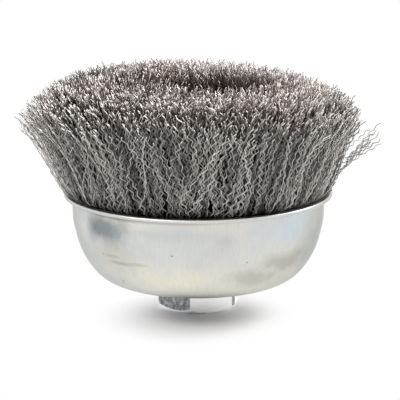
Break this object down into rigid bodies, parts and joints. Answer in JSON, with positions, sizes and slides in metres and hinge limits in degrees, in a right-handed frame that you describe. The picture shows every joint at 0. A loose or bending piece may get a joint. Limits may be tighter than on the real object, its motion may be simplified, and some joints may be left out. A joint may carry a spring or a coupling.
{
  "type": "wire cup brush",
  "caption": "Crimped steel wire cup brush: a drawn zinc plated cup full of wire on a threaded hub nut, for cleaning metal on an angle grinder.",
  "frame": {"origin": "centre of the hub nut's outer face, on the spindle axis", "axes": "+Z along the spindle axis from the nut's outer face through the cup to the wire tips; +X and +Y across"},
  "size_m": [0.1044, 0.1048, 0.0687],
  "materials": {
    "zinc_sheet": "bright zinc plated drawn sheet, faint yellow bloom",
    "nut_steel": "bright zinc plated turned steel",
    "hoop_steel": "plain strip steel",
    "crimped_wire": "bright drawn steel wire, crimped, slightly brown at the tips"
  },
  "bodies": {
    "root": {"hub_nut": "nut_steel", "cup": "zinc_sheet", "inner_cup": "zinc_sheet", "retaining_hoop": "hoop_steel", "wire_tuft_01": "crimped_wire", "wire_tuft_02": "crimped_wire", "wire_tuft_03": "crimped_wire", "wire_tuft_04": "crimped_wire", "wire_tuft_05": "crimped_wire", "wire_tuft_06": "crimped_wire", "wire_tuft_07": "crimped_wire", "wire_tuft_08": "crimped_wire", "wire_tuft_09": "crimped_wire", "wire_tuft_10": "crimped_wire", "wire_tuft_11": "crimped_wire", "wire_tuft_12": "crimped_wire", "wire_tuft_13": "crimped_wire", "wire_tuft_14": "crimped_wire", "wire_tuft_15": "crimped_wire", "wire_tuft_16": "crimped_wire", "wire_tuft_17": "crimped_wire", "wire_tuft_18": "crimped_wire", "wire_tuft_19": "crimped_wire", "wire_tuft_20": "crimped_wire", "wire_tuft_21": "crimped_wire", "wire_tuft_22": "crimped_wire", "wire_tuft_23": "crimped_wire", "wire_tuft_24": "crimped_wire", "wire_tuft_25": "crimped_wire", "wire_tuft_26": "crimped_wire", "wire_tuft_27": "crimped_wire", "wire_tuft_28": "crimped_wire", "wire_tuft_29": "crimped_wire", "wire_tuft_30": "crimped_wire"}
  },
  "joints": []
}
